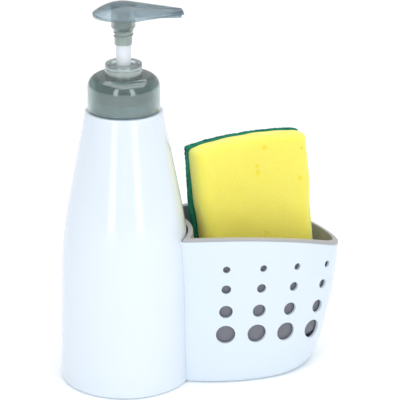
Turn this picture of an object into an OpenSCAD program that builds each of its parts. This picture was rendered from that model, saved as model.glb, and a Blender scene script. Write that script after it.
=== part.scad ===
// Soap pump caddy: a tapered soap bottle with a lotion pump, and a holed pocket on its side
// whose lift-out liner holds a two-layer kitchen sponge. Millimetres. The bottle's axis is Z,
// its base is z = 0, and the pocket points along +X.

/* [Bottle] */
// radius of the bottle at its base
bottle_base_r = 35.7; // [30:0.1:42]
// radius where the foot and the cone would meet without the curve between them
bottle_waist_r = 34.25; // [29:0.05:41]
// height of that meeting point
bottle_waist_z = 78; // [60:1:95]
// radius of the long curve between the foot and the cone, seen from the side
bottle_bend_r = 290; // [200:5:400]
// radius of the bottle's shoulder, under the collar
bottle_top_r = 20.3; // [18:0.1:24]
// height of the shoulder
bottle_top_z = 149.6; // [130:0.1:170]
// wall thickness of the bottle
bottle_wall = 1.8; // [1.2:0.1:3]
// rounding of the bottle's bottom edge
bottle_foot_round = 2.4; // [1:0.1:4]
// depth of the hollow under the base
bottle_kick = 1.6; // [0.5:0.1:3]
// radius of that hollow
bottle_kick_r = 29; // [20:0.5:32]
// outside radius of the neck
neck_r = 12.6; // [11:0.1:14]
// bore radius of the neck
neck_bore_r = 10.8; // [9:0.1:12]

/* [Caddy pocket] */
// half width of the pocket at its rim
pocket_half_w = 32.2; // [28:0.1:38]
// how much narrower each side is at the base
pocket_draft = 0.8; // [0:0.1:3]
// distance from the bottle's axis to the tip of the rim
pocket_reach = 120.3; // [105:0.1:140]
// how far the tip draws in from rim to base
pocket_flare = 14.5; // [6:0.1:22]
// height below which the tip draws in
pocket_flare_z = 70; // [50:1:90]
// radius of the long side arcs in plan
pocket_side_r = 89.2; // [75:0.1:110]
// distance from the bottle's axis to the middle of those arcs
pocket_mid_x = 65; // [55:0.5:75]
// rounding of the bottom edge along the sides
pocket_side_round = 3; // [1:0.1:5]
// rounding of the bottom edge at the tip
pocket_tip_round = 8; // [4:0.1:12]
// wall thickness of the shell
shell_wall = 1.6; // [1.2:0.1:2.5]
// thickness of the shell's floor
shell_floor = 2; // [1.5:0.1:3]
// highest point of the swept rim
rim_top_z = 82.3; // [70:0.1:95]
// where along X that highest point is
rim_top_x = 44.7; // [30:0.1:60]
// radius of the sweep of the rim, seen from the side
rim_sweep_r = 173; // [140:1:220]

/* [Holes] */
// diameter of the holes in the top row
hole_d_1 = 3.9; // [3:0.1:5]
// diameter in the second row
hole_d_2 = 5.1; // [4:0.1:7]
// diameter in the third row
hole_d_3 = 7.3; // [6:0.1:9]
// diameter in the bottom row
hole_d_4 = 10.4; // [9:0.1:12]
// depth of the top row below the rim's highest point
hole_drop_1 = 16.1; // [12:0.1:20]
// depth of the second row
hole_drop_2 = 27.5; // [22:0.1:32]
// depth of the third row
hole_drop_3 = 40.4; // [34:0.1:46]
// depth of the bottom row
hole_drop_4 = 53.6; // [47:0.1:60]
// distance from the bottle's axis to the first column
hole_first_x = 47.2; // [42:0.1:55]
// spacing of the columns along X in the top row
hole_pitch_top = 20.1; // [17:0.1:23]
// spacing of the columns along X in the bottom row
hole_pitch_low = 17; // [15:0.1:20]
// share of the rim's fall that each row of holes follows
row_fall_share = 0.58; // [0:0.01:1]

/* [Liner] */
// wall thickness of the lift-out liner
liner_wall = 1.3; // [1:0.1:2]
// gap between the liner and the shell
liner_gap = 0.6; // [0.3:0.1:1.2]
// gap between the liner's flange and the bottle
flange_bottle_gap = 0.8; // [0.4:0.1:1.5]
// gap between the liner's wall and the bottle
liner_bottle_gap = 2.2; // [1:0.1:4]
// thickness of the flange that rests on the shell's rim
flange_t = 1.2; // [0.8:0.1:2]
// step in from the shell's face to the flange's edge
flange_inset = 0.15; // [0.05:0.05:0.5]
// height of the liner's underside above the ground
liner_floor_z = 19; // [12:0.5:26]
// thickness of the liner's floor
liner_floor_t = 1.5; // [1:0.1:2.5]
// rounding of the liner's bottom edge
liner_round = 4; // [3:0.1:8]
// diameter of the drain holes
drain_d = 5; // [3:0.1:7]
// spacing of the drain holes
drain_pitch = 13; // [10:0.5:16]

/* [Sponge] */
// length of the sponge's broad face, along the pocket
sponge_w = 64; // [50:0.5:70]
// thickness of the foam layer
foam_t = 15.4; // [12:0.1:20]
// thickness of the scouring layer
pad_t = 5.2; // [3:0.1:8]
// height of the sponge, standing on its short side
sponge_h = 105.8; // [90:0.1:120]
// rounding of the foam's upright front edges
foam_round = 6.5; // [2:0.1:8]
// lean of the sponge back against the liner, in degrees
sponge_lean = 8.75; // [0:0.25:12]
// tilt of the sponge towards the bottle, in degrees
sponge_tilt = 2.6; // [0:0.1:6]
// turn of the sponge in the pocket, in degrees
sponge_turn = 5.2; // [0:0.1:10]
// rise of the sponge's arched top
sponge_arch = 2.4; // [0.5:0.1:5]
// where the sponge's lower front corner stands, along X
sponge_x = 46.5; // [40:0.1:50]
// and along Y
sponge_y = -17.2; // [-26:0.1:-8]
// gap between the sponge and the liner
sponge_gap = 0.3; // [0.2:0.1:1]
// height over which the liner's round presses the sponge's foot in
sponge_foot_h = 14; // [8:1:20]

/* [Pump closure] */
// outside radius of the collar
collar_r = 19; // [16:0.1:22]
// gap between the bottle's shoulder and the collar's lower edge
collar_foot_gap = 0.5; // [0.3:0.1:1.5]
// height of the collar
collar_h = 18.9; // [15:0.1:24]
// radius of the collar's domed shoulder
collar_shoulder_r = 7; // [4:0.1:9]
// wall thickness of the collar
collar_wall = 2.2; // [1.6:0.1:2.8]
// outside radius of the threaded skirt inside the collar
collar_skirt_r = 15.2; // [14:0.1:17]
// bore radius of that skirt
collar_skirt_bore_r = 13.3; // [12.8:0.1:14]
// length of that skirt
collar_skirt_l = 11.3; // [8:0.1:14]
// radius of the hole in the collar's top
collar_hole_r = 8.95; // [8:0.05:10]
// outside radius of the lock ring
ring_r = 9.65; // [8.5:0.05:11]
// height of the lock ring above the collar
ring_h = 6.2; // [4:0.1:9]
// radius of the lock ring's well
ring_well_r = 6.1; // [5.5:0.1:7]
// thickness of the gasket
gasket_t = 1.1; // [0.8:0.1:2]

/* [Pump mechanism] */
// radius of the white stem
stem_r = 3.85; // [3:0.05:5]
// bore radius of the stem
stem_bore_r = 2.3; // [1.5:0.1:3]
// radial running clearance of the moving pieces
running_gap = 0.07; // [0.02:0.01:0.1]
// bore radius of the pump cylinder
cylinder_bore_r = 6.5; // [5:0.1:8]
// wall thickness of the pump cylinder
cylinder_wall = 1.2; // [0.8:0.1:2]
// height of the spring's space with the pump up
spring_space = 38.15; // [30:0.05:45]
// stroke of the pump
stroke = 17.5; // [12:0.5:22]
// length of the piston
piston_l = 8; // [5:0.1:12]
// radius of the valve ball
ball_r = 2.4; // [1.8:0.1:3]
// lift of the valve ball in its cage
ball_lift = 2.2; // [1:0.1:4]
// outside radius of the dip tube
tube_r = 2.8; // [2:0.1:4]
// bore radius of the dip tube
tube_bore_r = 1.9; // [1:0.1:3]
// gap between the dip tube and the bottle's floor
tube_end_gap = 2.6; // [1.5:0.1:8]
// wire radius of the spring
wire_r = 0.45; // [0.3:0.05:0.7]
// mean radius of the spring's curls
spring_r = 4.4; // [3.5:0.1:5.5]
// number of curls
spring_curls = 9; // [6:1:14]

/* [Pump head] */
// radius of the head's round lobe
head_r = 15.7; // [12:0.1:20]
// height of the lobe's crown above the lock ring, with the pump up
head_rise = 31.7; // [28:0.1:40]
// height of the crown above the lobe's lower edge
head_h = 7; // [5:0.1:10]
// height of the lobe's upright edge
head_edge_h = 1.2; // [0.6:0.1:2]
// distance from the axis to the tip of the spout
spout_reach = 31.6; // [25:0.1:45]
// radius of the spout's tip
spout_tip_r = 2.6; // [2:0.1:4]
// fall from the lobe's lower edge to the middle of the spout's tip
spout_fall = 1.2; // [0:0.1:3]
// rise of the flow channel above the lobe's lower edge, where it leaves the socket
flow_rise = 1.3; // [0.5:0.1:2]
// bore radius of the flow channel
flow_r = 1.6; // [1:0.1:2.5]
// wall thickness of the head
head_wall = 1.3; // [0.9:0.1:2]
// radius of the socket that carries the head
socket_r = 6.35; // [5.5:0.05:8]
// length of the socket below the lobe, down to its chamfer
socket_l = 5.7; // [4:0.1:9]
// radius of the slim skirt below it
skirt_r = 4.65; // [4.4:0.05:5.6]
// length of the skirt, with the chamfer
skirt_l = 9.5; // [7:0.1:14]
// slant of the spout's end, in degrees
spout_cut = 26; // [0:1:45]

/* [Hidden] */
$fn = 96;
over = 5;
seam = 0.03;
far = 400;

// joints between the bottle's straight lines and its long curve
foot_angle = atan((bottle_base_r - bottle_waist_r) / bottle_waist_z);
cone_angle = atan((bottle_waist_r - bottle_top_r) / (bottle_top_z - bottle_waist_z));
bend_mid = (foot_angle + cone_angle) / 2;
bend_reach = bottle_bend_r / cos((cone_angle - foot_angle) / 2);
bend_x = bottle_waist_r - bend_reach * cos(bend_mid);
bend_z = bottle_waist_z - bend_reach * sin(bend_mid);
bottle_floor_z = bottle_kick + bottle_wall;
tube_end_z = bottle_floor_z + tube_end_gap;

// the pocket's plan and rim
side_c = pocket_side_r - pocket_half_w;
near_x = bottle_top_r / 2;
loft_top_z = rim_top_z + over;
loft_levels = 11;
level_power = 1.8;
side_steps = 14;
tip_steps = 10;
columns = 4;

// the stack above the bottle's shoulder, with the pump up
collar_base_z = bottle_top_z + collar_foot_gap;
collar_top_z = collar_base_z + collar_h;
ring_top_z = collar_top_z + ring_h;
head_top_z = ring_top_z + head_rise;
head_edge_z = head_top_z - head_h;
spout_tip_z = head_edge_z - spout_fall;
flow_root_z = head_edge_z + flow_rise;
socket_z = head_edge_z - socket_l;
skirt_z = socket_z - skirt_l;
snap_gap = 0.1;
seat_gap = 0.15;
housing_flange_t = 1.5;
housing_flange_r = collar_r - collar_shoulder_r - snap_gap;
collar_seat_z = collar_top_z - collar_wall;
collar_skirt_z = collar_seat_z - collar_skirt_l;
neck_top_z = collar_seat_z - housing_flange_t - gasket_t;
ring_wall = 0.9;
ring_sleeve_wall = 1.3;
ring_plate = 2.2;
ring_round = 1.2;
ring_groove = 0.35;
ring_groove_drop = 3.2;
hub_r = ring_r - ring_wall - snap_gap;
hub_bore_r = ring_well_r + ring_sleeve_wall + snap_gap;
hub_top_z = ring_top_z - ring_plate - snap_gap;
well_spare = 1.6;
well_floor_t = 2.6;
well_floor_z = skirt_z - stroke - well_spare;
sleeve_end_z = well_floor_z - well_floor_t;
hub_step_z = sleeve_end_z - snap_gap;
hub_end_z = collar_seat_z - housing_flange_t - over;
piston_top_z = sleeve_end_z - ball_lift / 4;
piston_end_z = piston_top_z - piston_l;
lip_t = 1.6;
lip_gap = 0.05;
waist_in = 1.1;
plug_t = 2;
plug_top_z = piston_end_z - seat_gap;
plug_boss = 2.4;
spring_top_z = plug_top_z - plug_t - seat_gap;
cylinder_floor_z = spring_top_z - spring_space;

// the valve at the foot of the cylinder
cage_t = 2;
cage_hole_r = 1.6;
chamber_share = 1.2;
chamber_r = chamber_share * ball_r;
chamber_top_z = cylinder_floor_z - cage_t;
seat_bore_r = 1.5;
seat_h = 1.9;
seat_angle = atan((chamber_r - seat_bore_r) / seat_h);
ball_z = chamber_top_z - snap_gap - ball_lift - ball_r;
seat_z = ball_z - lip_gap - ball_r * sin(seat_angle) - (ball_r * cos(seat_angle) - seat_bore_r) / tan(seat_angle);
throat = 2;
socket_depth = 13;
tube_top_z = seat_z - throat;
valve_r = 4.4;

// the head
crown_r = (pow(head_r, 2) + pow(head_top_z - head_edge_z - head_edge_h, 2))
  / (2 * (head_top_z - head_edge_z - head_edge_h));
crown_z = head_top_z - crown_r;
ridge_slope = asin(crown_r / norm([spout_reach, spout_tip_z + spout_tip_r - crown_z]))
  - atan((spout_tip_z + spout_tip_r - crown_z) / spout_reach);
ridge_l = sqrt(pow(spout_reach, 2) + pow(spout_tip_z + spout_tip_r - crown_z, 2) - pow(crown_r, 2));
apex_l = ridge_l / (crown_r / spout_tip_r - 1);
wrap_angle = atan(crown_r / (ridge_l + apex_l));
apex_rise = atan((spout_tip_z + spout_tip_r - apex_l * sin(ridge_slope) - crown_z)
  / (spout_reach + apex_l * cos(ridge_slope)));
plan_angle = asin((head_r - spout_tip_r) / spout_reach);
chamfer_h = 1.6;
chamfer_slope = 0.5;
chamfer_r = skirt_r + chamfer_slope * chamfer_h;
socket_cover = 3;
stem_top_z = head_edge_z - socket_cover;
tip_l = 2;
flow_wall = 0.85;
flow_slope = atan((flow_root_z - spout_tip_z) / spout_reach);
flow_l = spout_reach / cos(flow_slope);

// A rectangle in the plane of a profile, from radius a to b and from height c to d.
module band(a, b, c, d) {
  translate([a, c]) square([b - a, d - c]);
}

// The bottle's outer profile, drawn in by g: a nearly upright foot, a long curve and a cone.
module bottle_face(g) {
  r = bottle_bend_r - g;
  foot_in = g / cos(foot_angle);
  cone_in = g / cos(cone_angle);
  corner = bend_reach - g / cos((cone_angle - foot_angle) / 2);
  low = [bend_x + r * cos(foot_angle), bend_z + r * sin(foot_angle)];
  high = [bend_x + r * cos(cone_angle), bend_z + r * sin(cone_angle)];
  peak = [bend_x + corner * cos(bend_mid), bend_z + corner * sin(bend_mid)];
  polygon([[0, 0], [bottle_base_r - foot_in, 0], low, high, [bottle_top_r - cone_in, bottle_top_z],
    [0, bottle_top_z]]);
  intersection() {
    polygon([[0, bottle_waist_z], low, peak, high]);
    translate([bend_x, bend_z]) circle(r, $fn = 720);
  }
}

// The space the bottle fills, grown by g, as seen by the pieces that fit against it.
module bottle_mass(g) {
  rotate_extrude() bottle_face(-g);
}

module bottle() {
  foot_r = bottle_base_r - bottle_foot_round - bottle_foot_round * tan(foot_angle);
  color("white") rotate_extrude() difference() {
    union() {
      difference() {
        bottle_face(0);
        band(foot_r, bottle_base_r + over, -over, bottle_foot_round);
      }
      translate([foot_r, bottle_foot_round]) circle(bottle_foot_round);
      band(0, neck_r, bottle_top_z - bottle_wall, neck_top_z);
    }
    intersection() {
      bottle_face(bottle_wall);
      band(0, bottle_base_r, bottle_floor_z, bottle_top_z - bottle_wall);
    }
    band(0, neck_bore_r, bottle_top_z - over, neck_top_z + over);
    band(0, bottle_kick_r, -over, bottle_kick);
  }
}

// Half width and reach of the pocket at height z, drawn in by g, with a floor at z0.
function edge_in(z, r) = z < r ? r - sqrt(max(r * r - pow(r - z, 2), 0)) : 0;
function tip_in(z) = z < pocket_flare_z ? pocket_flare * pow((pocket_flare_z - z) / pocket_flare_z, 2) : 0;
function side_arc(z, g, z0, r) = side_c + pocket_half_w - pocket_draft * (1 - z / rim_top_z)
  - edge_in(z - z0, r) - g;
function tip_x(z, g, z0, r) = pocket_reach - tip_in(z) - edge_in(z - z0, r) - g;
function tip_arc(s, d) = (s * s - d * d - side_c * side_c) / (2 * (s - d));

// One level of the pocket: a side arc, a tip arc that it runs into, and both mirrored.
function level(z, g, z0, rs, rt) =
  let (s = side_arc(z, g, z0, rs), d = tip_x(z, g, z0, rt) - pocket_mid_x, t = tip_arc(s, d))
  let (x = d - t, join = atan2(x, side_c), start = asin((near_x - pocket_mid_x) / s))
  let (half = concat(
    [for (i = [0:side_steps - 1]) let (a = start + (join - start) * i / side_steps)
      [pocket_mid_x + s * sin(a), side_c - s * cos(a), z]],
    [for (i = [0:tip_steps]) let (a = join + (90 - join) * i / tip_steps)
      [pocket_mid_x + x + t * sin(a), -t * cos(a), z]]))
  concat(half, [for (i = [len(half) - 2:-1:0]) [half[i].x, -half[i].y, z]]);

// The pocket's outer form, drawn in by g and standing on a floor at z0 with rounded edges.
module pocket_form(g, z0, rs, rt) {
  rings = [for (k = [0:loft_levels]) level(z0 + (loft_top_z - z0) * pow(k / loft_levels, level_power),
    g, z0, rs, rt)];
  n = len(rings[0]);
  pts = [for (r = rings) for (p = r) p];
  side = [for (k = [0:loft_levels - 1]) for (i = [0:n - 1]) let (a = k * n + i, b = k * n + (i + 1) % n)
    [[a, a + n, b], [b, a + n, b + n]]];
  faces = concat([for (q = side) for (f = q) f], [[for (i = [0:n - 1]) i]],
    [[for (i = [n - 1:-1:0]) loft_levels * n + i]]);
  polyhedron(pts, faces, convexity = 4);
}

// Everything below the swept rim, raised by d.
module rim_drum(d) {
  translate([rim_top_x, 0, rim_top_z - rim_sweep_r]) rotate([90, 0, 0])
    cylinder(r = rim_sweep_r + d, h = far, center = true, $fn = 360);
}

// The four rows of round holes, square to the wall, on both long sides.
function rim_fall(x) = rim_sweep_r - sqrt(pow(rim_sweep_r, 2) - pow(x - rim_top_x, 2));
function wall_angle(x, z) =
  let (s = side_arc(z, 0, 0, pocket_side_round), d = tip_x(z, 0, 0, pocket_tip_round) - pocket_mid_x)
  let (t = tip_arc(s, d), join = atan2(d - t, side_c), a = asin((x - pocket_mid_x) / s))
  a < join ? a : asin(min((x - pocket_mid_x - d + t) / t, 1));
function wall_y(x, z) =
  let (s = side_arc(z, 0, 0, pocket_side_round), d = tip_x(z, 0, 0, pocket_tip_round) - pocket_mid_x)
  let (t = tip_arc(s, d), a = wall_angle(x, z), join = atan2(d - t, side_c))
  asin((x - pocket_mid_x) / s) < join ? s * cos(a) - side_c : t * cos(a);

module holes() {
  drops = [hole_drop_1, hole_drop_2, hole_drop_3, hole_drop_4];
  sizes = [hole_d_1, hole_d_2, hole_d_3, hole_d_4];
  for (m = [0, 1]) mirror([0, m, 0]) for (r = [0:len(drops) - 1]) for (c = [0:columns - 1]) {
    down = (drops[r] - hole_drop_1) / (hole_drop_4 - hole_drop_1);
    x = hole_first_x + c * (hole_pitch_top + (hole_pitch_low - hole_pitch_top) * down);
    z = rim_top_z - drops[r] - row_fall_share * rim_fall(x);
    translate([x, -wall_y(x, z), z]) rotate([90, 0, wall_angle(x, z)])
      translate([0, 0, -over]) cylinder(d = sizes[r], h = 2 * over, $fn = 48);
  }
}

module caddy_shell() {
  color("white") difference() {
    intersection() {
      pocket_form(0, 0, pocket_side_round, pocket_tip_round);
      rim_drum(0);
    }
    pocket_form(shell_wall, shell_floor, pocket_side_round, pocket_tip_round);
    bottle_mass(seam);
    holes();
  }
}

module caddy_liner() {
  out = shell_wall + liner_gap;
  color([0.62, 0.62, 0.62]) difference() {
    union() {
      intersection() {
        difference() {
          pocket_form(out, liner_floor_z, liner_round, liner_round);
          bottle_mass(liner_bottle_gap);
        }
        rim_drum(flange_t / 2);
      }
      difference() {
        intersection() {
          pocket_form(flange_inset, 0, pocket_side_round, pocket_tip_round);
          rim_drum(flange_t);
        }
        rim_drum(0);
        bottle_mass(flange_bottle_gap);
      }
    }
    difference() {
      pocket_form(out + liner_wall, liner_floor_z + liner_floor_t, liner_round - liner_wall,
        liner_round - liner_wall);
      bottle_mass(liner_bottle_gap + liner_wall);
    }
    for (i = [0:3]) for (j = [-1:1]) translate([hole_first_x + i * drain_pitch, j * drain_pitch, 0])
      cylinder(d = drain_d, h = liner_floor_z + over, $fn = 32);
  }
}

// The sponge's own place: it stands on the liner's floor and leans back to the rim.
module sponge_place() {
  translate([sponge_x, sponge_y, liner_floor_z + liner_floor_t]) rotate([0, 0, sponge_turn])
    rotate([0, -sponge_tilt, 0]) rotate([-sponge_lean, 0, 0]) children();
}

// The sponge's arched top, and its foot, which the liner's walls press in a little.
module sponge_clip() {
  arch_r = pow(sponge_w, 2) / (8 * sponge_arch) + sponge_arch / 2;
  foot_z = liner_floor_z + liner_floor_t + sponge_gap;
  intersection() {
    sponge_place() intersection() {
      children();
      translate([sponge_w / 2, 0, sponge_h - arch_r]) rotate([90, 0, 0])
        cylinder(r = arch_r, h = far, center = true, $fn = 360);
    }
    union() {
      pocket_form(shell_wall + liner_gap + liner_wall + sponge_gap, foot_z, liner_round - liner_wall,
        liner_round - liner_wall);
      translate([0, -far / 2, foot_z + sponge_foot_h]) cube(far);
    }
  }
}

module sponge_foam() {
  color([0.97, 0.92, 0.42]) sponge_clip() translate([0, 0, -over]) linear_extrude(sponge_h + 2 * over) {
    translate([foam_round, foam_round]) circle(foam_round);
    translate([sponge_w - foam_round, foam_round]) circle(foam_round);
    translate([foam_round, 0]) square([sponge_w - 2 * foam_round, foam_t]);
    translate([0, foam_round]) square([sponge_w, foam_t - foam_round]);
  }
}

module scouring_pad() {
  color([0.06, 0.5, 0.37]) sponge_clip() translate([0, foam_t, -over])
    cube([sponge_w, pad_t, sponge_h + 2 * over]);
}

// The collar's domed section, drawn in by g.
module dome_face(g) {
  band(0, collar_r - g, collar_base_z - (g > 0 ? over : 0), collar_top_z - collar_shoulder_r);
  band(0, collar_r - collar_shoulder_r, collar_base_z, collar_top_z - g);
  translate([collar_r - collar_shoulder_r, collar_top_z - collar_shoulder_r]) circle(collar_shoulder_r - g);
}

module collar() {
  color([0.55, 0.62, 0.6, 0.7]) rotate_extrude() difference() {
    union() {
      difference() {
        dome_face(0);
        dome_face(collar_wall);
      }
      band(collar_skirt_bore_r, collar_skirt_r, collar_skirt_z, collar_seat_z);
    }
    band(0, collar_hole_r, collar_base_z, collar_top_z + over);
  }
}

module lock_ring() {
  color([0.6, 0.66, 0.63, 0.7]) rotate_extrude() difference() {
    union() {
      band(0, ring_r, collar_top_z + seat_gap, ring_top_z - ring_round);
      band(0, ring_r - ring_round, collar_top_z + seat_gap, ring_top_z);
      translate([ring_r - ring_round, ring_top_z - ring_round]) circle(ring_round);
      band(0, ring_well_r + ring_sleeve_wall, sleeve_end_z, ring_top_z - ring_round);
    }
    band(0, ring_well_r, well_floor_z, ring_top_z + over);
    band(0, stem_r + running_gap, sleeve_end_z - over, ring_top_z);
    band(ring_well_r + ring_sleeve_wall, ring_r - ring_wall, collar_top_z - over, ring_top_z - ring_plate);
    translate([ring_r, ring_top_z - ring_groove_drop]) rotate(45) square(ring_groove, center = true);
  }
}

module pump_housing() {
  color([0.93, 0.93, 0.9]) rotate_extrude() difference() {
    union() {
      band(0, hub_r, hub_end_z, hub_top_z);
      band(0, housing_flange_r, collar_seat_z - housing_flange_t, collar_seat_z);
      band(0, cylinder_bore_r + cylinder_wall, chamber_top_z, hub_end_z);
      band(0, valve_r, tube_top_z - socket_depth, chamber_top_z);
    }
    band(0, hub_bore_r, hub_step_z, hub_top_z + over);
    band(0, cylinder_bore_r, cylinder_floor_z, hub_step_z);
    band(0, cage_hole_r, chamber_top_z, cylinder_floor_z);
    band(0, chamber_r, seat_z + seat_h, chamber_top_z);
    polygon([[0, seat_z], [seat_bore_r, seat_z], [chamber_r, seat_z + seat_h], [0, seat_z + seat_h]]);
    band(0, seat_bore_r, tube_top_z, seat_z);
    band(0, tube_r + seam, tube_top_z - socket_depth - over, tube_top_z);
  }
}

module neck_gasket() {
  color([0.9, 0.9, 0.86]) translate([0, 0, neck_top_z]) difference() {
    cylinder(r = housing_flange_r, h = gasket_t);
    translate([0, 0, -over]) cylinder(r = hub_r + snap_gap, h = gasket_t + 2 * over);
  }
}

module dip_tube() {
  color([0.9, 0.92, 0.92]) difference() {
    translate([0, 0, tube_end_z]) cylinder(r = tube_r, h = tube_top_z - tube_end_z, $fn = 48);
    translate([0, 0, tube_end_z - over]) cylinder(r = tube_bore_r, h = tube_top_z + over, $fn = 48);
    translate([0, 0, tube_end_z + tube_r]) rotate([0, 45, 0]) translate([0, -over, -2 * over])
      cube([2 * over, 2 * over, 2 * over]);
  }
}

module valve_ball() {
  color([0.8, 0.8, 0.82]) translate([0, 0, ball_z]) sphere(ball_r, $fn = 48);
}

module piston() {
  color([0.95, 0.95, 0.93]) rotate_extrude() difference() {
    band(stem_r + running_gap, cylinder_bore_r - lip_gap, piston_end_z, piston_top_z);
    band(cylinder_bore_r - waist_in, cylinder_bore_r + over, piston_end_z + lip_t, piston_top_z - lip_t);
  }
}

module pump_stem() {
  color([0.96, 0.97, 1]) translate([0, 0, plug_top_z]) difference() {
    cylinder(r = stem_r, h = stem_top_z - plug_top_z, $fn = 64);
    translate([0, 0, -over]) cylinder(r = stem_bore_r, h = stem_top_z - plug_top_z + 2 * over, $fn = 48);
  }
}

module stem_plug() {
  color([0.9, 0.9, 0.9]) rotate_extrude() {
    band(0, spring_r + wire_r, plug_top_z - plug_t, plug_top_z);
    band(0, stem_bore_r - seam, plug_top_z - plug_t, plug_top_z + piston_l / 2);
    band(0, spring_r - 3 * wire_r, plug_top_z - plug_t - plug_boss, plug_top_z - plug_t);
  }
}

// The spring is one tube that winds up from the cylinder's floor to the plug.
spring_rings = 8;
spring_sides = 6;
spring_low = cylinder_floor_z + wire_r + lip_gap;
spring_high = spring_top_z - wire_r;
spring_count = spring_curls * spring_rings;
function spring_at(i) = let (t = i / spring_count, a = t * spring_curls * 360)
  [spring_r * cos(a), spring_r * sin(a), spring_low + (spring_high - spring_low) * t];
spring_gap = (spring_high - spring_low) / spring_curls - 2 * wire_r;
echo(least_gap_between_curls = spring_gap);

module pump_spring() {
  pts = [for (i = [0:spring_count]) let (p = spring_at(i), a = i / spring_rings * 360)
    for (j = [0:spring_sides - 1]) let (b = j / spring_sides * 360)
      p + wire_r * [cos(b) * cos(a), cos(b) * sin(a), sin(b)]];
  side = [for (i = [0:spring_count - 1]) for (j = [0:spring_sides - 1])
    let (a = i * spring_sides + j, b = i * spring_sides + (j + 1) % spring_sides)
      [[a, b, a + spring_sides], [b, b + spring_sides, a + spring_sides]]];
  ends = [for (j = [1:spring_sides - 2]) [[0, j + 1, j],
    [spring_count * spring_sides, spring_count * spring_sides + j, spring_count * spring_sides + j + 1]]];
  color([0.75, 0.76, 0.78]) polyhedron(pts, concat([for (q = side) for (f = q) f], [for (q = ends) for (f = q) f]),
    convexity = 10);
}

// The head seen from above, drawn in by g: the round lobe and the straight sides of the spout.
module head_plan(g) {
  r = head_r - g;
  end = spout_reach + (g > 0 ? -tip_l : tip_l);
  y = (r - end * sin(plan_angle)) / cos(plan_angle);
  circle(r);
  polygon([[0, 0], [r * sin(plan_angle), -r * cos(plan_angle)], [end, -y], [end, y],
    [r * sin(plan_angle), r * cos(plan_angle)]]);
}

// The head's crown, drawn in by g: a ball, and the cone that wraps it and runs out along the spout.
module head_crown(g) {
  r = crown_r - g;
  translate([0, 0, crown_z]) rotate([0, 90 - apex_rise, 0]) rotate_extrude() intersection() {
    union() {
      circle(r, $fn = 180);
      polygon([[0, 0], [r * cos(wrap_angle), r * sin(wrap_angle)], [0, r / sin(wrap_angle)]]);
    }
    band(0, far, -far, far);
  }
}

// The lower edge of the head: level under the lobe, falling along the spout.
module head_side() {
  rotate([90, 0, 0]) linear_extrude(far, center = true)
    polygon([[-far, head_edge_z], [head_r * sin(plan_angle), head_edge_z], [spout_reach, spout_tip_z],
      [spout_reach + over, spout_tip_z], [spout_reach + over, head_top_z + over], [-far, head_top_z + over]]);
}

module pump_head() {
  color([0.62, 0.68, 0.72, 0.6]) difference() {
    union() {
      difference() {
        intersection() {
          translate([0, 0, skirt_z]) linear_extrude(head_top_z + over - skirt_z) head_plan(0);
          head_crown(0);
          head_side();
        }
        intersection() {
          translate([0, 0, skirt_z]) linear_extrude(head_top_z + over - skirt_z) head_plan(head_wall);
          head_crown(head_wall);
        }
      }
      translate([0, 0, socket_z]) cylinder(r = socket_r, h = head_top_z - head_wall / 2 - socket_z);
      translate([0, 0, socket_z - chamfer_h]) cylinder(r1 = chamfer_r, r2 = socket_r, h = chamfer_h);
      translate([0, 0, skirt_z]) cylinder(r = skirt_r, h = socket_z - skirt_z);
      translate([0, 0, flow_root_z]) rotate([0, 90 + flow_slope, 0])
        cylinder(r1 = flow_r + head_wall, r2 = flow_r + flow_wall, h = flow_l, $fn = 48);
    }
    translate([0, 0, skirt_z - over]) cylinder(r = stem_r + seam, h = stem_top_z + seam - skirt_z + over);
    translate([0, 0, skirt_z]) cylinder(r = stem_bore_r, h = flow_root_z - skirt_z);
    translate([0, 0, flow_root_z]) rotate([0, 90 + flow_slope, 0])
      cylinder(r = flow_r, h = flow_l + over, $fn = 48);
    translate([spout_reach, 0, spout_tip_z + spout_tip_r]) rotate([0, spout_cut, 0])
      translate([0, -over, -3 * over]) cube([3 * over, 2 * over, 6 * over]);
  }
}

bottle();
caddy_shell();
caddy_liner();
sponge_foam();
scouring_pad();
collar();
lock_ring();
pump_head();
pump_stem();
stem_plug();
piston();
pump_spring();
pump_housing();
valve_ball();
dip_tube();
neck_gasket();
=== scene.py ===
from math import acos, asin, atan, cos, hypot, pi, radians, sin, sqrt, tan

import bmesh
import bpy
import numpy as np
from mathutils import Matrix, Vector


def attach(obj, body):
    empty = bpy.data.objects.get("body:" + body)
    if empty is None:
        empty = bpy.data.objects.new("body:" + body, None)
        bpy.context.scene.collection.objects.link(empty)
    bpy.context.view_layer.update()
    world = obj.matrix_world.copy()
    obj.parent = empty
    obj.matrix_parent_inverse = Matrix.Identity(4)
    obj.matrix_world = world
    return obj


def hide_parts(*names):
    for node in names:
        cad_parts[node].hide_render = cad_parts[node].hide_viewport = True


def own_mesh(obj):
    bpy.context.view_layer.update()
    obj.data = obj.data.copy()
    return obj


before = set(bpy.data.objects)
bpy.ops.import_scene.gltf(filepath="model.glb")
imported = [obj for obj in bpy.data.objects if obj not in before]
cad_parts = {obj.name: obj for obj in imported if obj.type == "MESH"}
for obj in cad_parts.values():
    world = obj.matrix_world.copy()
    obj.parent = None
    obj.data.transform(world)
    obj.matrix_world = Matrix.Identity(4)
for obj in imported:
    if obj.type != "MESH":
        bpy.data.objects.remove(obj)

# %% [markdown]
# # A soap bottle with a pump and a sponge pocket
# The frame that was just loaded holds the solids of the object, in metres, with the bottle's axis on Z.
# This lesson dresses them. Where a surface is curved and glossy, a finer surface is worked out with
# numpy and stands in for the solid. Where a solid is hidden inside the pump, it keeps its own mesh and
# gets a material. Lengths are written in millimetres, as on a drawing, and scaled once on the way in.

MM = 0.001
scene = bpy.context.scene
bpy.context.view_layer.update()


# %% [markdown]
# ## Camera
# The camera stands 873 mm in front of the bottle and 417 mm above the ground and looks down by 20
# degrees. A long lens at that distance gives the mild perspective of a product shot.

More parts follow.
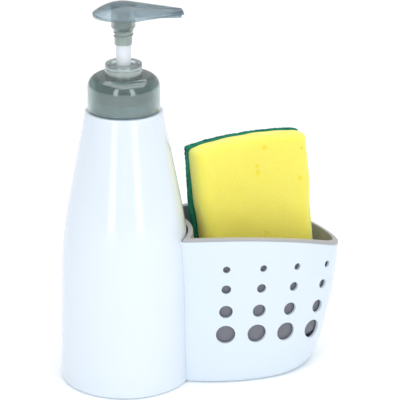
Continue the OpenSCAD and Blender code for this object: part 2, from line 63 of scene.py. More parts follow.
# %% Camera from its distance, height, turn and lens
camera_distance, camera_height = 873.5, 417.5
camera_turn, camera_pitch, camera_roll = radians(2.606), radians(19.998), radians(0.357)
pocket_angle = radians(14.5)
focal_px, image_px, sensor_mm = 1756.3, 400, 36.0


def turned(x, y, z):
    """A direction seen from the camera's own front, in the object's frame, where +X runs to the pocket."""
    c, s = cos(pocket_angle), sin(pocket_angle)
    return Vector((x * c + y * s, -x * s + y * c, z))


def camera_axes():
    """Right, up and forward: right is level, then both roll about forward by camera_roll."""
    cy, sy = cos(camera_turn), sin(camera_turn)
    cp, sp = cos(camera_pitch), sin(camera_pitch)
    forward = Vector((sy * cp, cy * cp, -sp))
    level = Vector((cy, -sy, 0.0))
    top = level.cross(forward)
    cr, sr = cos(camera_roll), sin(camera_roll)
    right, up = level * cr + top * sr, top * cr - level * sr
    return turned(*right), turned(*up), turned(*forward)


def placed(name, data):
    """A new object in the scene."""
    obj = bpy.data.objects.new(name, data)
    scene.collection.objects.link(obj)
    return obj


lens = bpy.data.cameras.new("product_camera")
lens.sensor_width = sensor_mm
lens.lens = focal_px / image_px * sensor_mm
lens.clip_start, lens.clip_end = 0.05, 20.0
camera = placed("product_camera", lens)
right, up, forward = camera_axes()
frame_axes = Matrix((right, up, -forward)).transposed().to_4x4()
camera.matrix_world = Matrix.Translation(turned(0, -camera_distance, camera_height) * MM) @ frame_axes
scene.camera = camera
print("camera at", [round(v / MM) for v in camera.matrix_world.translation], "lens", round(lens.lens, 1))


# %% [markdown]
# ## Surfaces from formulas
# Each new piece is a grid of points. A grid has rows and columns, and neighbouring points are joined by
# four-sided faces, so the formula for one point is all that a piece needs. Poles, where a whole row
# meets in one point, close when doubled points are merged.

# %% Grids and meshes
def grid_faces(rows, cols, wrap_rows=False):
    """Quads that join point (i, j) to (i + 1, j), (i + 1, j + 1) and (i, j + 1); columns close a loop."""
    i = np.arange(rows if wrap_rows else rows - 1)[:, None]
    j = np.arange(cols)[None, :]
    i2, j2 = (i + 1) % rows, (j + 1) % cols
    return np.stack([i * cols + j, i * cols + j2, i2 * cols + j2, i2 * cols + j], axis=-1).reshape(-1, 4)


def sheet(points):
    """A grid of points with its faces."""
    return points, grid_faces(*points.shape[:2])


def mesh_of(points, faces):
    """A draft mesh from points in mm and faces that list them by number."""
    mesh = bpy.data.meshes.new("draft")
    mesh.from_pydata((np.asarray(points).reshape(-1, 3) * MM).tolist(), [],
                     [list(map(int, face)) for face in faces])
    return mesh


def object_of(name, drafts, near=0.0005, thin=0.0):
    """Drafts joined into one object: points within near mm merge, slivers go, faces turn outwards."""
    bm = bmesh.new()
    for draft in drafts:
        bm.from_mesh(draft)
        bpy.data.meshes.remove(draft)
    bmesh.ops.remove_doubles(bm, verts=bm.verts, dist=near * MM)
    if thin:
        bmesh.ops.dissolve_degenerate(bm, edges=bm.edges, dist=thin * MM)
    bmesh.ops.recalc_face_normals(bm, faces=bm.faces)
    mesh = bpy.data.meshes.new(name)
    bm.to_mesh(mesh)
    bm.free()
    return placed(name, mesh)


def smooth(mesh, sharp=35.0):
    """Smooth shading, with edges over sharp degrees kept crisp."""
    mesh.shade_smooth()
    mesh.set_sharp_from_angle(angle=radians(sharp))


def piece(name, points, faces, body, material, slot, sharp=35.0, replaces=()):
    """A closed mesh in one material, with the body that carries it and the solids it stands for."""
    obj = object_of(name, [mesh_of(points, faces)], near=0.002, thin=0.001)
    print(name, len(obj.data.polygons), "faces")
    smooth(obj.data, sharp)
    obj.data.materials.append(material)
    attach(obj, body)
    if replaces:
        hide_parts(*replaces)
    return obj


# %% [markdown]
# A turned piece, such as the bottle or the collar, is a profile carried round the axis. Real mouldings
# have small radii on every corner, and those radii catch the light, so the profile is rounded first.

# %% Rounded profiles, turned about the axis
def rounded(corners, steps=5):
    """A polyline whose corner (r, z, radius) is swapped for an arc that meets both sides at a tangent."""
    out = []
    for k, (x, z, rad) in enumerate(corners):
        if rad <= 0 or k in (0, len(corners) - 1) and corners[0][:2] != corners[-1][:2]:
            out.append((x, z))
            continue
        here = np.array((x, z))
        a = np.array(corners[k - 1][:2]) - here
        b = np.array(corners[(k + 1) % len(corners)][:2]) - here
        la, lb = np.linalg.norm(a), np.linalg.norm(b)
        a, b = a / la, b / lb
        half = acos(max(-1, min(1, float(a @ b)))) / 2
        reach = min(rad / tan(half), la * 0.49, lb * 0.49)
        rad = reach * tan(half)
        centre = here + (a + b) / np.linalg.norm(a + b) * rad / sin(half)
        p, q = here + a * reach - centre, here + b * reach - centre
        t = np.linspace(0, 1, steps)[:, None]
        total = pi - 2 * half
        arc = (np.sin((1 - t) * total) * p + np.sin(t * total) * q) / sin(total)
        out.extend(map(tuple, centre + arc))
    return np.array(out)


def turn(profile, steps, closed=True):
    """Point (i, j) is profile point i, radius r and height z, turned by 2 pi j / steps about the axis."""
    a = np.linspace(0, 2 * np.pi, steps, endpoint=False)
    r, z = profile[:, :1], profile[:, 1:]
    points = np.stack([r * np.cos(a), r * np.sin(a), z + 0 * a], axis=-1)
    return points, grid_faces(len(profile), steps, wrap_rows=closed)


def laid(points, a, b, c, origin):
    """A turned shape laid on other axes: its own X, Y and Z run along a, b and c from the origin."""
    a, b, c, origin = map(np.array, (a, b, c, origin))
    return points[..., :1] * a + points[..., 1:2] * b + points[..., 2:] * c + origin


def lathe(name, corners, steps, body, material, slot, replaces=(), closed=True, arc=5):
    """A piece turned from corners (r, z, radius), each of them rounded by arc points."""
    points, faces = turn(rounded(corners, arc), steps, closed)
    return piece(name, points, faces, body, material, slot, replaces=replaces)


def coil(radius, lead, start, turns, section, steps=72, fade=0.12):
    """A ridge along a helix: its section (out, up) sits at angle a and height start + lead a / 2 pi.

    The section shrinks to nothing over the first and last share, fade, of its length.
    """
    t = np.linspace(0, 1, int(turns * steps) + 1)[:, None]
    a = 2 * np.pi * turns * t
    size = np.clip(np.minimum(t, 1 - t) / fade, 0.02, 1) if fade else 1.0
    out, rise = section.T[:, None] * size
    r, z = radius + out, start + lead * turns * t + rise
    points = np.stack([r * np.cos(a), r * np.sin(a), z], axis=-1)
    rows, cols = points.shape[:2]
    last = (rows - 1) * cols
    caps = [[0, k + 1, k] for k in range(1, cols - 1)]
    caps += [[last, last + k, last + k + 1] for k in range(1, cols - 1)]
    return points, grid_faces(rows, cols).tolist() + caps


# %% [markdown]
# ## Shader maths that reads as Python
# A material is a graph of nodes. The small class below wraps one output socket and gives it the usual
# operators, so that `1 - mask` or `grain * 0.3` adds the Math nodes by itself. Any other node comes
# from one method, which takes its type, its settings and the values of its sockets.

# %% Values and finishes
def feed(socket, value):
    """A Val is linked to the socket, and anything else becomes the socket's own value."""
    if isinstance(value, Val):
        socket.id_data.links.new(value.socket, socket)
    else:
        socket.default_value = value


class Val:
    """One output socket of a material, with arithmetic on it."""

    def __init__(self, socket):
        self.socket = socket

    def math(self, kind, *terms):
        node = self.socket.id_data.nodes.new("ShaderNodeMath")
        node.operation = kind
        for slot, term in zip(node.inputs, terms):
            feed(slot, term)
        return Val(node.outputs[0])

    def __add__(self, other):
        return self.math("ADD", self, other)

    def __sub__(self, other):
        return self.math("SUBTRACT", self, other)

    def __rsub__(self, other):
        return self.math("SUBTRACT", other, self)

    def __mul__(self, other):
        return self.math("MULTIPLY", self, other)

    def __truediv__(self, other):
        return self.math("DIVIDE", self, other)

    def clip(self, low, high):
        """0 below low, 1 above high, straight in between."""
        share = (self - low) / (high - low)
        share = share.math("MINIMUM", share, 1.0)
        return share.math("MAXIMUM", share, 0.0)


class Finish:
    """A material under construction, around one Principled shader."""

    def __init__(self, name, **constants):
        self.material = bpy.data.materials.new(name)
        self.material.use_nodes = True
        self.tree = self.material.node_tree
        self.shader = self.tree.nodes["Principled BSDF"]
        self.set(**constants)
        self.place = self.node("TexCoord", out="Object")
        print("material", name)

    def node(self, kind, settings=None, out=0, sockets=None, **named):
        """Any node: settings are its fields, sockets and named its inputs, out its output."""
        n = self.tree.nodes.new("ShaderNode" + kind)
        for key, value in (settings or {}).items():
            setattr(n, key, value)
        for key, value in {**named, **(sockets or {})}.items():
            feed(n.inputs[key], value)
        return Val(n.outputs[out])

    def noise(self, per_mm, detail=3.0, rough=0.5):
        """Soft noise, per_mm waves to the millimetre."""
        return self.node("TexNoise", out="Fac", Vector=self.place, Scale=per_mm / MM, Detail=detail,
                         Roughness=rough)

    def cells(self, per_mm, feature="F1"):
        """Distance from the middle of the nearest cell."""
        return self.node("TexVoronoi", {"feature": feature}, out="Distance", Vector=self.place,
                         Scale=per_mm / MM)

    def blend(self, share, a, b):
        """Colour a where share is 0, colour b where it is 1."""
        return self.node("Mix", {"data_type": "RGBA"}, out=2, sockets={0: share, 6: a, 7: b})

    def bump(self, height, depth_mm, strength=1.0):
        """A normal that leans as if height rose by depth_mm."""
        return self.node("Bump", Height=height, Distance=depth_mm * MM, Strength=strength)

    def set(self, **sockets):
        for key, value in sockets.items():
            feed(self.shader.inputs[key.replace("_", " ")], value)
        return self.material


# %% [markdown]
# ## White gloss plastic
# The bottle and the pocket are moulded in one opaque, very slightly bluish white; the pocket's copy of
# it is a little darker and bluer, as painted shade. Injection moulded gloss is never perfectly even: it
# has a long, weak waviness, and its gloss changes a little with handling. Both are noise at a scale of
# centimetres. A little light scatters below the surface, and a thin coat sharpens the reflections.

# %% White gloss
def white_gloss(name, tint):
    """One noise tints and bends the surface, a slower one varies its gloss."""
    f = Finish(name, IOR=1.5, Specular_IOR_Level=0.5, Coat_Weight=0.25, Coat_Roughness=0.06,
               Subsurface_Weight=0.15, Subsurface_Radius=(1.0, 1.0, 1.0), Subsurface_Scale=3.0 * MM)
    wave = f.noise(0.03, 2.0)
    handled = f.noise(0.012, 4.0, 0.6)
    colour = f.blend(wave * 0.5, (*tint, 1), (tint[0] * 0.985, tint[1] * 0.99, tint[2], 1))
    return f.set(Base_Color=colour, Roughness=handled * 0.08 + 0.09, Normal=f.bump(wave, 0.05, 0.25))


bottle_white = white_gloss("white_gloss_bottle", (0.775, 0.855, 0.95))
# The pocket's white is the same plastic painted a little darker and bluer: painted shade.
pocket_white_shaded = white_gloss("white_gloss_pocket_shaded", (0.73, 0.82, 0.92))


# %% [markdown]
# ## Smoky clear plastic
# Collar, lock ring and pump head are a clear grey-green plastic. Light passes through and is tinted at
# every wall, so thick places look darker, as long as the walls are closed and have their real
# thickness. Some roughness blurs what shows through, and a smooth coat keeps the highlights crisp.
# Where ribs make a moulding nearly solid, the tint is darker.

# %% Smoky clear
def smoky(name, tint, rough, coat=1.0, clear=0.88, thick=(), bend=1.46, gloss=1.5):
    """Clear plastic; thick lists tints and the heights, in mm, above which the moulding is more solid."""
    f = Finish(name, Transmission_Weight=clear, IOR=bend, Specular_IOR_Level=0.5, Coat_Weight=coat,
               Coat_Roughness=0.03, Coat_IOR=gloss)
    flow = f.noise(0.05)
    colour = f.blend(flow, (*tint, 1), (tint[0] * 0.94, tint[1] * 0.95, tint[2] * 0.97, 1))
    height, blur = f.node("SeparateXYZ", out="Z", Vector=f.place), 0.5
    for solid_tint, above in thick:
        share = height.clip((above - blur) * MM, (above + blur) * MM)
        colour = f.blend(share, colour, (*solid_tint, 1))
    return f.set(Base_Color=colour, Roughness=f.noise(0.02) * 0.06 + rough,
                 Normal=f.bump(flow, 0.04, 0.15))


smoke_collar = smoky("smoky_collar", (0.37, 0.52, 0.50), 0.14, gloss=1.75)
smoke_ring = smoky("smoky_ring", (0.87, 0.97, 0.95), 0.14, clear=0.80)
smoke_head = smoky("smoky_head", (0.46, 0.57, 0.62), 0.09, coat=0.3, bend=1.36)
smoke_socket = smoky("smoky_socket", (0.74, 0.83, 0.78), 0.14,
                     thick=[((0.48, 0.57, 0.54), 192.0), ((0.16, 0.25, 0.28), 199.6)])


# %% [markdown]
# ## Grey liner, natural pump plastic, metal, rubber
# The liner is a satin grey with a fine moulded grain. Its outside, which shows through the holes, is
# painted darker than its rim and its inside, as painted shade for the dim gap behind the shell. The
# working pieces of the pump are a natural, unpigmented plastic with faint flow lines. The spring and
# the valve ball are steel.

# %% Satin and natural plastics
def satin(name, tint, rough, grain_mm=0.03, flow=0.03, back=None):
    """Satin plastic; back, if given, is the painted shade colour where the attribute "outside" is 1."""
    f = Finish(name, IOR=1.48, Specular_IOR_Level=0.4)
    grain = f.noise(2.2, 2.0, 0.6)
    cloud = f.noise(flow)
    colour = f.blend(cloud, (*tint, 1), tuple(c * 0.93 for c in tint) + (1,))
    if back:
        # Faces marked "outside" take the back colour, a painted shade for the gap between shell and liner.
        side = f.node("Attribute", {"attribute_name": "outside"}, out="Fac")
        colour = f.blend(side, colour, (*back, 1))
    return f.set(Base_Color=colour, Roughness=cloud * 0.12 + rough, Normal=f.bump(grain, grain_mm, 0.5))


# The darker back colour is painted shade on the liner's outside, where it shows through the holes.
liner_grey = satin("satin_liner_grey", (0.44, 0.44, 0.45), 0.30, back=(0.185, 0.19, 0.215))
stem_white = satin("stem_white", (0.87, 0.91, 0.96), 0.16, 0.01, 0.08)
pump_natural = satin("pump_natural", (0.80, 0.80, 0.75), 0.30, 0.015, 0.06)
tube_milky = satin("tube_milky", (0.82, 0.85, 0.85), 0.28, 0.01, 0.05)
gasket_foam = satin("gasket_foam", (0.72, 0.72, 0.68), 0.75, 0.08, 0.2)


# %% Steel
def steel(name, rough):
    """Bare metal with one fine noise in colour, gloss and bump."""
    f = Finish(name, Metallic=1.0)
    drawn = f.noise(0.9, 4.0, 0.6)
    colour = f.blend(drawn, (0.62, 0.62, 0.63, 1), (0.50, 0.50, 0.51, 1))
    return f.set(Base_Color=colour, Roughness=drawn * 0.15 + rough, Normal=f.bump(drawn, 0.01, 0.3))


spring_steel = steel("drawn_steel", 0.22)
ball_steel = steel("ball_steel", 0.10)


# %% [markdown]
# ## The bottle
# The outline is a nearly upright foot, a long curve and a cone, turned about the axis. The foot has a
# small radius and a shallow hollow under it, and the neck carries the thread for the collar.

# %% Bottle outline and body
base_r, waist_r, waist_z, bend_r, top_r, top_z = 35.7, 34.25, 78.0, 290.0, 20.3, 149.6
foot_lean = atan((base_r - waist_r) / waist_z)
cone_lean = atan((waist_r - top_r) / (top_z - waist_z))
bend_mid = (foot_lean + cone_lean) / 2
bend_reach = bend_r / cos((cone_lean - foot_lean) / 2)
bend_x, bend_z = waist_r - bend_reach * cos(bend_mid), waist_z - bend_reach * sin(bend_mid)
neck_r, neck_bore, neck_top, bottle_wall = 12.6, 10.8, 164.2, 1.8
hollow_r, hollow_z, stand_r, foot_soft, bottle_floor = 28.6, 1.6, 29.4, 2.4, 3.4


def bottle_radius(z, grow=0.0):
    """Radius at height z, grown by grow: the foot's line, an arc about (bend_x, bend_z), the cone."""
    z = np.asarray(z, float)
    r = bend_r + grow
    low, high = bend_z + r * sin(foot_lean), bend_z + r * sin(cone_lean)
    foot = base_r + grow / cos(foot_lean) - z * tan(foot_lean)
    cone = top_r + grow / cos(cone_lean) + (top_z - z) * tan(cone_lean)
    arc = bend_x + np.sqrt(np.maximum(r * r - (z - bend_z) ** 2, 0))
    return np.where(z < low, foot, np.where(z > high, cone, arc))


def on_wall(z, soft=0, grow=0.0):
    """A corner of the outline at height z, rounded by soft."""
    return float(bottle_radius(z, grow)), z, soft


lid_z = top_z - bottle_wall
outside = [on_wall(z) for z in np.linspace(4.0, top_z - 1.6, 90)]
inside = [on_wall(z, 0, -bottle_wall) for z in np.linspace(lid_z - 1.5, 6.0, 60)]
bottle_line = (
    [(0, hollow_z, 0), (hollow_r, hollow_z, 0.7), (stand_r, 0, 0.5), on_wall(0, foot_soft)] + outside
    + [on_wall(top_z, 0.9), (neck_r, top_z, 0.6), (neck_r, neck_top, 0.3), (neck_bore, neck_top, 0.3),
       (neck_bore, lid_z, 0.8), on_wall(lid_z, 0.8, -bottle_wall)] + inside
    + [on_wall(bottle_floor, 2.0, -bottle_wall), (0, bottle_floor, 0)])
lathe("bottle_body", bottle_line, 256, "stand", bottle_white, "white_gloss", ["bottle"], closed=False,
      arc=7)

# %% Neck thread
thread_pitch, thread_z, thread_turns, thread_out = 3.0, 156.6, 1.75, 0.6
ridge = np.array([(-0.3, -0.85), (thread_out, -0.2), (thread_out, 0.2), (-0.3, 0.85)])
piece("neck_thread", *coil(neck_r, thread_pitch, thread_z, thread_turns, ridge), "stand", bottle_white,
      "white_gloss")


# %% [markdown]
# ## The pocket
# Seen from above, the pocket is two long arcs that run into a round tip, and it wraps round the
# bottle at its open end. A loop of points at one height is built from four arcs: the bottle's, a small
# corner, the long side and the tip. Stacking loops gives the walls. The tip draws in towards the base,
# and each column of points ends on a rim that sweeps down in an arc.

# %% One loop of the pocket
half_w, draft, reach, flare, flare_z = 32.2, 0.8, 120.3, 14.5, 70.0
side_r, mid_x, rim_z, rim_x, rim_sweep = 89.2, 65.0, 82.3, 44.7, 173.0
side_c = side_r - half_w
loop_parts, pocket_mid, foot_tall = (26, 5, 56, 40), 68.0, 9.0


def foot_round(z, radius):
    """How far an edge rounded by radius draws in at height z: radius - sqrt(radius^2 - (radius - z)^2)."""
    return radius - np.sqrt(np.maximum(radius ** 2 - np.clip(radius - z, 0, None) ** 2, 0))


def plan_arcs(z, inset, floor=0.0, round_side=3.0, round_tip=8.0):
    """At height z: the side arc's radius, the tip arc's centre on X and radius, and the angle they share.

    The side is an arc of radius s about (mid_x, side_c). The tip is an arc about (mid_x + d - t, 0) whose far
    end is at mid_x + d. They share a tangent where t = (s s - d d - side_c side_c) / (2 (s - d)).
    """
    s = side_c + half_w - draft * (1 - z / rim_z) - foot_round(z - floor, round_side) - inset
    d = reach - np.where(z < flare_z, flare * ((flare_z - z) / flare_z) ** 2, 0) \
        - foot_round(z - floor, round_tip) - inset - mid_x
    t = (s * s - d * d - side_c ** 2) / (2 * (s - d))
    return s, mid_x + d - t, t, np.arctan2(d - t, side_c)


def pocket_loop(z, inset, off, corner, floor=0.0, round_side=3.0, round_tip=8.0):
    """Plan points at heights z (rows) for every column, half of the loop, from the bottle to the tip.

    The side and the tip are the arcs above; the bottle's arc has its own radius plus off; a corner arc
    joins bottle and side.
    """
    z = np.asarray(z, float)
    if z.ndim == 1:
        z = z[:, None] * np.ones(sum(loop_parts))
    inset, off = inset + 0 * z, off + 0 * z
    s, tip_x, t, join = plan_arcs(z, inset, floor, round_side, round_tip)
    rb = bottle_radius(z) + off + foot_round(z - floor, min(round_side, 4.0)) * (off > 0)
    ra, rc, dist = rb + corner, s - corner, hypot(mid_x, side_c)
    along = (ra ** 2 - rc ** 2 + dist ** 2) / (2 * dist)
    across = np.sqrt(np.maximum(ra ** 2 - along ** 2, 0))
    fx = (along * mid_x + across * side_c) / dist
    fy = (along * side_c - across * mid_x) / dist
    theta = np.arctan2(fy, fx)
    phi = np.arctan2(fy - side_c, fx - mid_x)
    start = np.arctan2(np.cos(phi), -np.sin(phi))
    u = np.concatenate([np.linspace(0, 1, n, endpoint=k == 3) for k, n in enumerate(loop_parts)])
    which = [np.repeat(range(4), loop_parts) == k for k in range(3)]
    a0, a1 = theta + np.pi, phi + 2 * np.pi
    turned_by = a0 + (a1 - a0) * u
    side = start + (join - start) * u
    tip = join + (np.pi / 2 - join) * u
    x = np.select(which, [rb * np.cos(theta * u), fx + corner * np.cos(turned_by), mid_x + s * np.sin(side)],
                  tip_x + t * np.sin(tip))
    y = np.select(which, [rb * np.sin(theta * u), fy + corner * np.sin(turned_by), side_c - s * np.cos(side)],
                  -t * np.cos(tip))
    return np.stack([x, y, z], axis=-1)


def whole(rows):
    """The mirrored half closes the loop; the end columns, on the centre line, aren't doubled."""
    other = rows[:, -2:0:-1].copy()
    other[..., 1] *= -1
    return np.concatenate([rows, other], axis=1)


print("pocket loop has", 2 * sum(loop_parts) - 2, "columns")


# %% Rows at the rim and on a floor
def rim_height(x, lift=0.0):
    """The rim's height at x, an arc: rim_z - rim_sweep + sqrt((rim_sweep + lift)^2 - (x - rim_x)^2)."""
    return rim_z - rim_sweep + np.sqrt((rim_sweep + lift) ** 2 - (x - rim_x) ** 2)


def at_rim(inset, off, corner, lift, under=0.0, **kw):
    """One row on the rim: heights and plan points are found together in three rounds."""
    z = np.full((1, sum(loop_parts)), rim_z - 1.0)
    for _ in range(3):
        row = pocket_loop(z, inset, off, corner, **kw)
        z = rim_height(row[..., 0], lift) - under
    row[..., 2] = z
    return row


def edge_rows(inset, off, corner, lift, radius, quarter, count, follow=1, **kw):
    """Rows round a rim's corner: the lower outer (quarter -1), upper outer (0) or upper inner (1) one.

    At angle a they lie radius (x - cos a) further in and radius (z - sin a) lower, with the corner's signs
    (x, z). The side towards the bottle follows if follow is 1.
    """
    x, z = {-1: (1, -1), 0: (1, 1), 1: (-1, 1)}[quarter]
    rows = []
    for a in np.linspace(quarter * pi / 2, (quarter + 1) * pi / 2, count):
        g = radius * (x - cos(a))
        rows.append(at_rim(inset + g, off + g * follow, corner, lift, radius * (z - sin(a)), **kw))
    return rows


def disc(row, height, shares):
    """Rows that shrink a loop towards the pocket's middle c, for a flat floor: c + (p - c) s."""
    centre = np.array([pocket_mid, 0.0, height])
    flat = row.copy()
    flat[..., 2] = height
    return np.concatenate([centre + (flat - centre) * s for s in shares])


print("rim falls by", round(float(rim_z - rim_height(reach)), 1), "mm at the tip")

# %% [markdown]
# The shell is a cup with a rounded foot. Its side towards the bottle and its holes are cut afterwards,
# by a Boolean with a grown bottle and with cylinders that lie along the wall's own normal.

# %% Shell walls
def wall_rows(inset, off, corner, floor, top_rows, up=True, **kw):
    """Rows from a floor to a rim row: close together in the rounded foot, then evenly up to the rim."""
    low = floor + foot_tall * (1 - np.cos(np.linspace(0, np.pi / 2, 14)))
    foot = pocket_loop(low, inset, off, corner, floor=floor, **kw)
    share = np.linspace(0, 1, 26)[1:-1, None]
    z = low[-1] + (top_rows[..., 2] - low[-1]) * share
    rest = pocket_loop(z, inset, off, corner, floor=floor, **kw)
    rows = np.concatenate([foot, rest])
    return rows if up else rows[::-1]


shell_wall, shell_floor, shell_off, shell_corner, rim_soft, rim_soft_in = 1.6, 2.0, -2.0, 0.5, 0.35, 0.2
lip = edge_rows(0.0, shell_off, shell_corner, 0.0, rim_soft, 0, 5, follow=0)
lip += edge_rows(shell_wall, shell_off, shell_corner, 0.0, rim_soft_in, 1, 4, follow=0)
outer = wall_rows(0.0, shell_off, shell_corner, 0.0, lip[0])
inner = wall_rows(shell_wall, shell_off, shell_corner, shell_floor, lip[-1], up=False)
shares = np.array([0.0, 0.3, 0.6, 0.85])
shell_rows = np.concatenate([disc(outer[:1], 0.0, shares), outer] + lip
                            + [inner, disc(inner[-1:], shell_floor, shares[::-1])])
shell = piece("pocket_shell", *sheet(whole(shell_rows)), "stand", pocket_white_shaded, "white_gloss",
              replaces=["caddy_shell"])


# %% Cutters for the holes and for the bottle's side
hole_rows = ((3.9, 16.1), (5.1, 27.5), (7.3, 40.4), (10.4, 53.6))
first_x, pitch_top, pitch_low, fall_share = 47.2, 20.1, 17.0, 0.58
hole_columns, cut_depth, fit_gap, fit_low, fit_top = 4, 5.0, 0.03, -6, 130


def wall_at(x, z):
    """Depth y and outward angle of the near wall at x and z, from the loop's own side and tip arcs."""
    s, tip_x, t, join = map(float, plan_arcs(z, 0.0))
    a = asin((x - mid_x) / s)
    if a < join:
        return side_c - s * cos(a), a
    a = asin(min((x - tip_x) / t, 1))
    return -t * cos(a), a


def drum(x, y, z, angle, radius, length, steps=64):
    """A closed cylinder whose axis runs along the wall's outward normal, (sin angle, -cos angle, 0)."""
    profile = np.array([(0, -length), (radius, -length), (radius, length), (0, length)])
    p, f = turn(profile, steps, closed=False)
    c, s = cos(angle), sin(angle)
    return mesh_of(laid(p, (c, s, 0), (0, 0, 1), (s, -c, 0), (x, y, z)), f)


drafts = []
for diameter, drop in hole_rows:
    share = (drop - hole_rows[0][1]) / (hole_rows[-1][1] - hole_rows[0][1])
    for column in range(hole_columns):
        x = first_x + column * (pitch_top + (pitch_low - pitch_top) * share)
        z = rim_z - drop - fall_share * (rim_z - float(rim_height(x)))
        y, angle = wall_at(x, z)
        drafts.append(drum(x, y, z, angle, diameter / 2, cut_depth))
        drafts.append(drum(x, -y, z, pi - angle, diameter / 2, cut_depth))
fit_z = np.linspace(fit_low, fit_top, 120)
fit_line = np.array([(0, fit_low)] + list(zip(bottle_radius(fit_z, fit_gap), fit_z)) + [(0, fit_top)])
drafts.append(mesh_of(*turn(fit_line, 256, closed=False)))


def carve(obj, tool):
    """The tool is cut out of the piece, the cut is applied, and the tool is thrown away."""
    cut = obj.modifiers.new("cut", "BOOLEAN")
    cut.operation, cut.solver, cut.object = "DIFFERENCE", "EXACT", tool
    bpy.context.view_layer.update()
    result = bpy.data.meshes.new_from_object(obj.evaluated_get(bpy.context.evaluated_depsgraph_get()))
    obj.modifiers.clear()
    obj.data = result
    bpy.data.objects.remove(tool)
    smooth(result)
    print(obj.name, "after its cuts", len(result.polygons), "faces")


carve(shell, object_of("shell_cutter", drafts))

# %% [markdown]
# ## The liner
# The grey liner drops into the pocket and hangs by a flange that lies on the rim. The same loop
# function makes it: an outer wall, the flange's edge and top, an inner wall and a floor, in one run of
# rows. It stays clear of the bottle, so here the loop's first arc is the liner's own wall.

# %% Liner rows
liner_out, liner_wall, liner_off, liner_floor, floor_t = 2.2, 1.3, 2.2, 19.0, 1.5
flange_t, flange_in, flange_off, flange_soft, under_soft = 1.2, 0.15, 0.8, 0.45, 0.25
corner_out, corner_flange, corner_in = 1.0, 0.7, 1.4
foot_out, foot_in = {"round_side": 2.5, "round_tip": 2.5}, {"round_side": 2.7, "round_tip": 2.7}
plain = {"floor": -20.0, "round_side": 0.1, "round_tip": 0.1}
inner_at = (liner_out + liner_wall, liner_off + liner_wall, corner_in)
flange_low = at_rim(liner_out, liner_off, corner_out, 0.0, floor=liner_floor, **foot_out)
out_rows = wall_rows(liner_out, liner_off, corner_out, liner_floor, flange_low, **foot_out)
rows = [disc(out_rows[:1], liner_floor, shares), out_rows, flange_low]
rows += edge_rows(flange_in, flange_off, corner_flange, 0.0, under_soft, -1, 4, **plain)
rows += edge_rows(flange_in, flange_off, corner_flange, flange_t, flange_soft, 0, 6, **plain)
rows += edge_rows(*inner_at, flange_t, flange_soft, 1, 6, **plain)
in_rows = wall_rows(*inner_at, liner_floor + floor_t, rows[-1], up=False, **foot_in)
rows += [in_rows, disc(in_rows[-1:], liner_floor + floor_t, shares[::-1])]
liner = piece("liner_tray", *sheet(whole(np.concatenate(rows))), "liner", liner_grey, "grey_liner",
              replaces=["caddy_liner"])

# %% Drain holes in the liner's floor
drain_d, drain_pitch, drain_low, drain_top = 5.0, 13.0, liner_floor - 3, liner_floor + 5
drain_line = np.array([(0, drain_low), (drain_d / 2, drain_low), (drain_d / 2, drain_top), (0, drain_top)])
points, faces = turn(drain_line, 40, closed=False)
drain_at = [(first_x + i * drain_pitch, j * drain_pitch, 0) for i in range(4) for j in (-1, 0, 1)]
carve(liner, object_of("drain_cutter", [mesh_of(points + np.array(at), faces) for at in drain_at]))


def mark_painted_shade(mesh, band=0.3, down=-0.5):
    """A number for each face, 1 for painted shade: band mm under the rim and facing outwards or down; else 0.
    """
    centre = np.array([face.center for face in mesh.polygons]) / MM
    normal = np.array([face.normal for face in mesh.polygons])
    away = (centre[:, 0] - pocket_mid) * normal[:, 0] + centre[:, 1] * normal[:, 1] > 0
    under = centre[:, 2] < rim_height(centre[:, 0]) - band
    marks = ((away | (normal[:, 2] < down)) & under).astype(float)
    mesh.attributes.new("outside", "FLOAT", "FACE").data.foreach_set("value", marks)


mark_painted_shade(liner.data)


# %% [markdown]
# ## Collar, lock ring and stem
# These are turned pieces too. Their walls keep their true thickness, because it is the wall that tints
# and bends the light.

# %% Collar
collar_r, collar_z0, collar_z1, shoulder, wall = 19.0, 150.7, 169.0, 7.0, 2.2
stem_hole, sleeve_in, sleeve_out, sleeve_z, under_from = 8.95, 13.3, 15.2, 155.5, 0.84


def shoulder_arc(radius, start, end, count):
    """Corners on an arc of that radius about the shoulder's centre, from angle start to angle end."""
    return [(collar_r - shoulder + radius * cos(a), collar_z1 - shoulder + radius * sin(a), 0)
            for a in np.linspace(start, end, count)]


collar_line = ([(collar_r, collar_z0, 0.5)] + shoulder_arc(shoulder, 0, pi / 2, 18)
               + [(stem_hole, collar_z1, 0.3), (stem_hole, collar_z1 - wall, 0.2),
                  (sleeve_in, collar_z1 - wall, 0.3), (sleeve_in, sleeve_z, 0.3), (sleeve_out, sleeve_z, 0.3)]
               + shoulder_arc(shoulder - wall, under_from, 0, 10) + [(collar_r - wall, collar_z0, 0.3)])
lathe("screw_collar", collar_line, 224, "collar", smoke_collar, "smoke_clear", ["collar"])

# %% Lock ring with its groove and its well
ring_r, ring_in, ring_z0, ring_z1, groove_r, groove_z, groove_h = 9.65, 8.75, 169.15, 175.2, 9.4, 172.0, 0.25
well_r, well_z, guide_r, guide_z, well_out, under_z = 6.1, 165.6, 3.92, 163.0, 7.4, 173.0
ring_line = [(ring_r, ring_z0, 0.25), (ring_r, groove_z - groove_h, 0), (groove_r, groove_z, 0),
             (ring_r, groove_z + groove_h, 0), (ring_r, ring_z1, 1.2), (well_r, ring_z1, 0.5),
             (well_r, well_z, 0.5), (guide_r, well_z, 0.2), (guide_r, guide_z, 0.2),
             (well_out, guide_z, 0.3), (well_out, under_z, 0.2), (ring_in, under_z, 0.3),
             (ring_in, ring_z0, 0.2)]
lathe("lock_ring_clear", ring_line, 192, "pump_engine", smoke_ring, "smoke_clear", ["lock_ring"])

